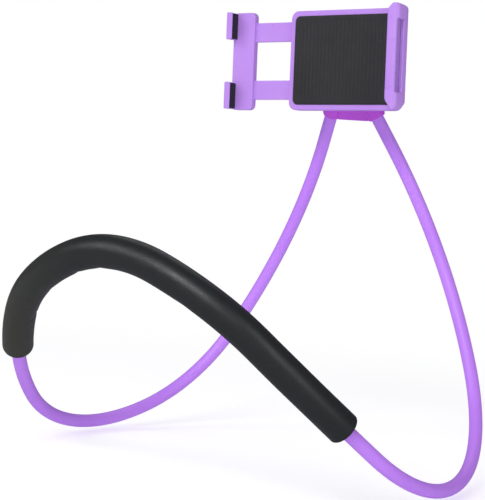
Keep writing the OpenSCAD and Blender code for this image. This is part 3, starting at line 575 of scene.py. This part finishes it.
def sliderField(x, y, z):
    # the block that carries two lipped fingers and two rails, the lower ones mirrored
    up, edge, r = np.abs(z), slider["corner"], slider["round"]
    qx = np.abs(x - (slider["x"] + slider["blockX"]) / 2) - (slider["blockX"] - slider["x"]) / 2 + edge
    qz = up - slider["half"] + edge
    outline = np.sqrt(np.maximum(qx, 0) ** 2 + np.maximum(qz, 0) ** 2)
    outline = outline + np.minimum(np.maximum(qx, qz), 0) - edge
    front, back = clamp["railY"], clamp["railBackY"]
    depth = between(y, clamp["frontY"], back + slider["blockBack"])
    field = meet(outline, depth, r["block"])
    low, high = slider["finger"]
    corner = (slider["x"], slider["fingerY"], low)
    finger = block(x, y, up, corner, (slider["inX"], back, high), r["block"])
    lip = block(x, y, up, corner, (slider["lipX"], slider["lipInY"], high), r["lip"])
    field = join(field, join(finger, lip, r["lipRoot"]), r["fingerRoot"])
    low, high = slider["rail"]
    far = (slider["railEnd"], back, high)
    rail = block(x, y, up, (slider["blockX"] - slider["rooted"], front, low), far, r["rail"])
    tab = block(x, y, up, (slider["railEnd"] - slider["tab"], front, slider["tabZ"]), far, r["rail"])
    return join(field, np.minimum(rail, tab), r["railRoot"])


def yokeField(x, y, z, side):
    # one shell of the yoke: a plate whose sides run in to a round boss, and a barrel round each rod, hollowed
    across, r = np.abs(x), yoke["round"]
    c, s = math.cos(math.radians(yoke["splay"])), math.sin(math.radians(yoke["splay"]))
    dx = across - yoke["socketHalf"]
    out, up = dx * c + z * s, z * c - dx * s            # across a socket and along it
    radial = np.sqrt(out ** 2 + y ** 2)
    (footX, footZ), (topX, topZ) = yoke["side"], yoke["shoulder"]
    run = math.hypot(topX - footX, topZ - footZ)
    sideLine = ((across - footX) * (topZ - footZ) - (z - footZ) * (topX - footX)) / run
    plate = meet(meet(sideLine, yoke["mouthUp"] - up, r["mouth"]), yoke["barZ"] - z, r["mouth"])
    plate = np.maximum(plate, z - topZ)
    boss = np.sqrt(x ** 2 + (z - yoke["boss"]) ** 2) - yoke["bossR"]
    plate = meet(np.minimum(plate, boss), np.abs(y) - yoke["half"], r["plate"])
    wall, tipRun = radial - yoke["wallR"], yoke["tipRun"]
    tip = (wall + (up - yoke["barrel"]) / tipRun) * tipRun / math.hypot(tipRun, 1)
    barrel = meet(meet(wall, -up, r["mouth"]), tip, r["tip"])
    barrel = meet(barrel, up - yoke["barrel"] - yoke["wallR"], r["crown"])
    if side < 0:        # between the barrels the front steps back, and the lower edge stands there as a bar
        wide, high, deep = yoke["panel"]
        panel = meet(across - wide + z * s / c, z - high, r["panelTop"])
        plate = meet(plate, -meet(panel, y + deep, r["panelFloor"]), r["panelRim"])
    field = join(plate, barrel, r["barrel"])
    bore = np.maximum(radial - yoke["sleeveR"], up - yoke["socketDepth"])
    bore = np.minimum(bore, np.maximum(radial - yoke["ferruleR"], up - yoke["barrel"]))
    field = meet(field, -bore, r["bore"])
    field = meet(field, -side * y, r["seam"])
    middle = np.sqrt(x ** 2 + (z - yoke["boss"]) ** 2)
    reaches = [np.sqrt(x ** 2 + (z - at) ** 2) for at in yoke["screws"]]
    if side < 0:
        wide, deep = yoke["flange"]
        field = meet(field, -np.maximum(middle - wide, -deep - y), r["flange"])
        field = meet(field, yoke["stemR"] - middle, r["stem"])
        wide, deep = yoke["pilot"]
        for reach in reaches:
            field = np.maximum(field, -np.maximum(reach - wide, -deep - y))
    else:
        wide, deep = yoke["studHead"]
        field = meet(field, -np.maximum(middle - wide, deep - y), r["head"])
        field = np.maximum(field, yoke["studR"] - middle)
        wide, deep = yoke["screwHead"]
        for reach in reaches:
            field = meet(field, -np.maximum(reach - wide, deep - y), r["head"])
            field = np.maximum(field, yoke["screwR"] - reach)
    return field


nut = {   # in the clamp's frame, about the ball
    "outR": 13.2, "boreR": 10.75, "ballR": 7.56, "front": -4.0, "back": 5.07, "bottom": 1.8, "cone": 38.0,
    "stemR": 3.0, "clear": 0.25, "grooves": 20, "grooveR": 1.05, "grooveAt": 13.55,
    "round": {"groove": 0.35, "face": 0.6, "bore": 0.25, "flare": 0.4},
}


def nutField(x, y, z):
    # a ring with finger grooves, open to the ball's cup in front and flared for the stem at the back
    r = nut["round"]
    radial = np.sqrt(x ** 2 + z ** 2)
    turn = 2 * np.pi / nut["grooves"]
    angle = (np.arctan2(z, x) + turn / 2) % turn - turn / 2
    groove = np.sqrt((radial * np.cos(angle) - nut["grooveAt"]) ** 2 + (radial * np.sin(angle)) ** 2)
    field = meet(radial - nut["outR"], nut["grooveR"] - groove, r["groove"])
    field = meet(field, between(y, nut["front"], nut["back"]), r["face"])
    field = meet(field, -np.maximum(radial - nut["boreR"], y - nut["bottom"]), r["bore"])
    field = np.maximum(field, nut["ballR"] - np.sqrt(radial ** 2 + y ** 2))
    cone = math.radians(nut["cone"])
    flare = radial * math.cos(cone) - y * math.sin(cone) - nut["stemR"] - nut["clear"] * math.cos(cone)
    return meet(field, -flare, r["flare"])


moulded = [
    # node, field, box that holds it, grid step, frame, finish, body
    ("fixed_jaw", jawField, (51, -28, -37.5), (67.3, -4.2, 38.5), 0.4, fromClamp, mouldedAbs, "clamp"),
    ("sliding_jaw", sliderField, (-82.2, -23.4, -36.6), (22.9, -7.8, 36.6), 0.42, fromClamp, mouldedAbs,
     "slider"),
    ("yoke_front", lambda x, y, z: yokeField(x, y, z, -1), (-28, -6.5, -3), (28, 0.1, 59.6), 0.42, fromYoke,
     shadedAbs, "yoke"),
    ("yoke_rear", lambda x, y, z: yokeField(x, y, z, 1), (-28, -0.1, -3), (28, 6.5, 59.6), 0.42, fromYoke,
     shadedAbs, "yoke"),
    ("lock_nut", nutField, (-13.3, -4.1, -13.3), (13.3, 5.2, 13.3), 0.28, fromClamp, mouldedAbs, "lock_nut"),
]
for node, field, low, high, step, place, material, body in moulded:
    piece = solid("moulded_" + node, field, low, high, step, place)
    settle(piece, material, sharpAngle=180)      # the mesh holds its roundings: no edge is sharp
    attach(piece, body)
    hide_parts(node)
    print("  ", node, len(piece.data.polygons), "faces")

# how near points are merged, in metres; facets and edges told apart by angle; steps of a rounding; and how
# near to the body's outline and depth a point counts as on its rim, in mm
soften = {"weld": 2e-6, "flatAngle": 0.6, "edgeAngle": 32, "segments": 4, "onOutline": 0.06, "onDepth": 0.02}


def softened(node, widthMm, material, body, pick):
    # a merged copy of a CAD node: flat facets joined, and its edges rounded, or only those that pick finds
    mesh = bpy.data.meshes.new("soft_" + node)
    work = bmesh.new()
    work.from_mesh(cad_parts[node].data)
    bmesh.ops.remove_doubles(work, verts=work.verts, dist=soften["weld"])
    bmesh.ops.dissolve_limit(work, angle_limit=math.radians(soften["flatAngle"]), verts=work.verts,
                             edges=work.edges)
    sharp = np.array([edge.calc_face_angle(0.0) for edge in work.edges]) > math.radians(soften["edgeAngle"])
    work.to_mesh(mesh)
    work.free()
    if "custom_normal" in mesh.attributes:
        mesh.attributes.remove(mesh.attributes["custom_normal"])
    piece = bpy.data.objects.new("soft_" + node, mesh)
    settle(piece, material)
    if widthMm:
        if pick:
            co, ends = np.empty(3 * len(mesh.vertices)), np.empty(2 * len(mesh.edges), int)
            mesh.vertices.foreach_get("co", co)
            mesh.edges.foreach_get("vertices", ends)
            picked = pick(toClamp(co.reshape(-1, 3) / mm))
            sharp = sharp & picked[ends.reshape(-1, 2)].all(axis=1)
        weight = mesh.attributes.new("bevel_weight_edge", "FLOAT", "EDGE")
        weight.data.foreach_set("value", sharp.astype(np.float32))
        bevel = piece.modifiers.new("rounded", "BEVEL")
        bevel.width, bevel.segments = widthMm * mm, soften["segments"]
        bevel.limit_method = "WEIGHT"
        bevel.use_clamp_overlap = False
        bevel.harden_normals = True
    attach(piece, body)
    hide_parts(node)


def onRim(own, y):
    # points on the body's outline, at one depth: no further than a hair from the rounded rectangle
    r = clamp["corner"]
    middle, half = (clamp["bodyLeft"] + clamp["bodyRight"]) / 2, (clamp["bodyRight"] - clamp["bodyLeft"]) / 2
    qx, qz = np.abs(own[:, 0] - middle) - half + r, np.abs(own[:, 2]) - clamp["bodyHalf"] + r
    outline = np.hypot(np.maximum(qx, 0), np.maximum(qz, 0)) + np.minimum(np.maximum(qx, qz), 0) - r
    return (np.abs(outline) < soften["onOutline"]) & (np.abs(own[:, 1] - y) < soften["onDepth"])


parts = {
    # node: rounding in mm, finish, slot, body, which edges
    "yoke_screws": (0.1, zincSteel, "steel", "yoke", None),
    "ball_stud": (0.0, mouldedAbs, "plastic", "yoke", None),
    "stud_screw": (0.1, zincSteel, "steel", "yoke", None),
    "ball_seat": (0.0, softRubber, "soft_rubber", "ball_seat", None),
    "body_front": (0.8, mouldedAbs, "plastic", "clamp", lambda own: onRim(own, clamp["frontY"])),
    "body_rear": (1.2, mouldedAbs, "plastic", "clamp", lambda own: onRim(own, clamp["rearY"])),
    "body_screws": (0.1, zincSteel, "steel", "clamp", None),
    "jaw_screws": (0.1, zincSteel, "steel", "clamp", None),
    "fixed_jaw_pads": (0.15, softRubber, "soft_rubber", "clamp", None),
    "finger_pads": (0.15, softRubber, "soft_rubber", "slider", None),
}
for node, (width, material, slotName, body, pick) in parts.items():
    softened(node, width, material, body, pick)

print("bed")
bed = {"low": (-26.6, -32.5), "high": (56.8, 32.5), "corner": 4.0, "thick": 1.0, "edge": 0.4,
       "ribPitch": 3.2, "ribDepth": 0.24, "margin": 4.0, "fade": 1.5, "across": 300, "up": 70,
       "crowd": (0.1, 0.2)}     # how much of the mesh crowds to the edges, across and up


def crowded(half, count, crowd):
    # from -half to half: even steps, mixed with a sine that is closer set at both ends
    even = np.linspace(-1, 1, count)
    return half * ((1 - crowd) * even + crowd * np.sin(even * np.pi / 2))


# a rounded rectangle: squares round each corner's centre become arcs. The top falls in an arc to its edge,
# and shallow grooves run up it, a cosine to the fourth power across each
cx, cz = ((bed["low"][i] + bed["high"][i]) / 2 for i in (0, 1))
hx, hz = ((bed["high"][i] - bed["low"][i]) / 2 for i in (0, 1))
qx, qz = np.meshgrid(crowded(hx, bed["across"], bed["crowd"][0]), crowded(hz, bed["up"], bed["crowd"][1]),
                     indexing="ij")
ax, az = np.abs(qx) - hx + bed["corner"], np.abs(qz) - hz + bed["corner"]
ring, reach = np.maximum(np.maximum(ax, az), 0), np.hypot(np.maximum(ax, 0), np.maximum(az, 0))
both = (ax > 0) & (az > 0)
shrink = np.where(both, ring / np.where(both, reach, 1), 1)
px = np.sign(qx) * np.where(both, hx - bed["corner"] + ax * shrink, np.abs(qx))
pz = np.sign(qz) * np.where(both, hz - bed["corner"] + az * shrink, np.abs(qz))
inset = bed["corner"] - np.maximum(ring, np.maximum(ax, az))
rise = np.clip(inset / bed["edge"], 0, 1)
height = bed["thick"] - bed["edge"] + bed["edge"] * np.sqrt(1 - (1 - rise) ** 2)
fade = np.clip((inset - bed["margin"] + bed["fade"]) / bed["fade"], 0, 1)
fade = fade * fade * (3 - 2 * fade)
height = height - bed["ribDepth"] * fade * np.cos(np.pi * px / bed["ribPitch"]) ** 4
top = np.stack([cx + px, clamp["frontY"] - height, cz + pz], axis=-1)
index = np.arange(px.size).reshape(px.shape)
quads = np.stack([index[:-1, :-1], index[1:, :-1], index[1:, 1:], index[:-1, 1:]], axis=-1).reshape(-1, 4)
rim = np.concatenate([index[:, 0], index[-1, 1:], index[-2::-1, -1], index[0, -2:0:-1]])
under = top.reshape(-1, 3)[rim].copy()
under[:, 1] = clamp["frontY"]
lower = px.size + np.arange(len(rim))
wall = np.stack([np.roll(rim, -1), rim, lower, np.roll(lower, -1)], axis=-1)
mesh = bpy.data.meshes.new("bed_mat")
mesh.from_pydata((fromClamp(np.vstack([top.reshape(-1, 3), under])) * mm).tolist(), [],
                 quads.tolist() + wall.tolist() + [lower.tolist()])
bedMat = settle(bpy.data.objects.new("bed_mat", mesh), softRubber, sharpAngle=50)
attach(bedMat, "clamp")
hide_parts("phone_bed")

print("springs")
coil = {"from": -28.6, "to": 19.8, "z": 12.37, "radius": 1.15, "wire": 0.24, "turns": 24, "perTurn": 20,
        "around": 8,
        "closing": 0.42,    # how much closer the turns lie at the ends
        "held": 1.0}        # how far in from each end an end point is taken
middleY = (clamp["railY"] + clamp["railBackY"]) / 2
for name, side in (("top", 1), ("bottom", -1)):
    # a circle of the wire's radius along a helix, whose pitch closes up at both ends
    q = np.linspace(0, 1, coil["turns"] * coil["perTurn"] + 1)
    length = coil["to"] - coil["from"] - 2 * coil["wire"]
    along = coil["from"] + coil["wire"] + length * (q - coil["closing"] * np.sin(4 * np.pi * q) / (4 * np.pi))
    a = 2 * np.pi * coil["turns"] * q
    centre = np.stack([along, middleY + coil["radius"] * np.cos(a),
                       side * coil["z"] + coil["radius"] * np.sin(a)], axis=-1)
    out = np.stack([np.zeros_like(q), np.cos(a), np.sin(a)], axis=-1)
    slant = np.gradient(centre, axis=0)
    slant /= np.linalg.norm(slant, axis=1)[:, None]
    other = np.cross(slant, out)
    b = np.linspace(0, 2 * np.pi, coil["around"], endpoint=False)[None, :, None]
    grid = centre[:, None] + coil["wire"] * (np.cos(b) * out[:, None] + np.sin(b) * other[:, None])
    grid = fromClamp(grid.reshape(-1, 3)).reshape(grid.shape)
    spring = settle(gridPiece("coil_" + name, grid), springSteel, sharpAngle=60)
    ends = np.array([[coil["from"] + coil["held"], middleY, 0], [coil["to"] - coil["held"], middleY, 0]])
    start, end = fromClamp(ends) * mm
    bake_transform(spring)
    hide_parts("spring_" + name)

# the ferrules stay as the CAD has them, inside the yoke
for node in ("ferrule_right", "ferrule_left"):
    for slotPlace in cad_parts[node].material_slots:
        slotPlace.material = drawnAluminium
